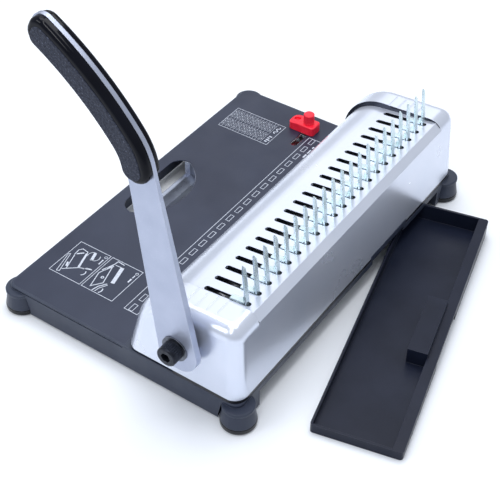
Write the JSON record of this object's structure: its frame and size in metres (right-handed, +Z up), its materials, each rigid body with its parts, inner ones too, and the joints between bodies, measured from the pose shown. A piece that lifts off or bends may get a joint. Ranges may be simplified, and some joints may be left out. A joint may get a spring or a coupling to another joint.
{
  "type": "comb binding machine",
  "caption": "Desk comb binding machine with a pull-down punching lever, a slotted housing with upright tines and sliding hooks, an edge guide and a pull-out chip drawer.",
  "frame": {"origin": "on the floor, under the middle of the whole object's box with the lever up and the drawer pulled out", "axes": "+X towards the lever side, -Y towards the table and the user, +Z up"},
  "size_m": [0.3964, 0.3723, 0.3289],
  "materials": {
    "base_plastic": "fine moulded grain, dark blue-grey",
    "table_print": "satin printed sheet, dark blue-grey with pale line print",
    "scoop_silver": "satin silver",
    "zinc": "pale blue zinc plate",
    "housing_paint": "smooth silver-white paint",
    "steel": "plain mill finish",
    "bronze": "sintered bronze",
    "lever_silver": "fine satin silver",
    "grip_gloss": "high gloss black",
    "grip_soft": "fine pebble grain, dark blue-grey",
    "black_oxide": "black oxide",
    "bright_steel": "bright turned steel",
    "foot_rubber": "glossy rubber",
    "guide_red": "red, slightly worn gloss",
    "knob_red": "red, knurled",
    "drawer_plastic": "satin black",
    "spring_steel": "drawn wire"
  },
  "bodies": {
    "base": {"base_tray": "base_plastic", "rubber_feet": "foot_rubber", "foot_screws": "steel", "table_plate": "table_print", "grip_cup": "scoop_silver", "guide_rail": "steel", "housing_cover": "housing_paint", "cover_screws": "steel", "side_frame_near": "steel", "side_frame_far": "steel", "frame_screws": "steel", "tie_bar": "steel", "lower_die": "steel", "pin_guide": "steel", "paper_stop": "steel", "shaft_bushes": "bronze", "comb_rail": "zinc", "rack_guides": "steel", "spring_posts": "steel", "return_springs": "spring_steel"},
    "lever": {"lever_arm": "lever_silver", "grip_outer": "grip_gloss", "grip_inner": "grip_gloss", "grip_inlay": "grip_soft", "grip_screws": "steel", "lever_bolt": "black_oxide", "lever_washer": "bright_steel", "main_shaft": "steel", "shaft_ring": "steel", "shaft_spacer": "black_oxide", "press_cams": "steel", "cam_pins": "steel"},
    "punch_carriage": {"punch_bar": "steel", "punch_pins": "steel", "pin_clamp": "steel", "clamp_screws": "steel"},
    "hook_carriage": {"hook_rack": "zinc", "rack_stiffener": "zinc"},
    "guide": {"edge_guide": "guide_red", "guide_nut": "steel"},
    "knob": {"guide_knob": "knob_red"},
    "drawer": {"chip_drawer": "drawer_plastic"}
  },
  "joints": [
    {"name": "lever_pull", "type": "hinge", "parent": "base", "child": "lever", "pos_m": [0.16755, 0.01234, 0.072], "axis": [1, 0, 0], "range_deg": [-35, 65]},
    {"name": "punch_travel", "type": "slide", "parent": "base", "child": "punch_carriage", "axis": [0, 0, 1], "range_m": [-0.0081, 0.0044], "deforming": ["return_springs"]},
    {"name": "hook_travel", "type": "slide", "parent": "base", "child": "hook_carriage", "axis": [0, -1, 0], "range_m": [0, 0.025]},
    {"name": "guide_slide", "type": "slide", "parent": "base", "child": "guide", "axis": [1, 0, 0], "range_m": [-0.009, 0.025]},
    {"name": "knob_turn", "type": "hinge", "parent": "guide", "child": "knob", "pos_m": [-0.16545, -0.08566, 0.036], "axis": [0, 0, 1], "range_deg": [0, 270]},
    {"name": "drawer_pull", "type": "hinge", "parent": "base", "child": "drawer", "pos_m": [-0.41616, 0.08946, 0.005], "axis": [0, 0, 1], "range_deg": [-12.7, 4]}
  ],
  "couplings": [
    {"joint": "punch_travel", "follows": "lever_pull", "m_per_rad": -0.0070516}
  ]
}
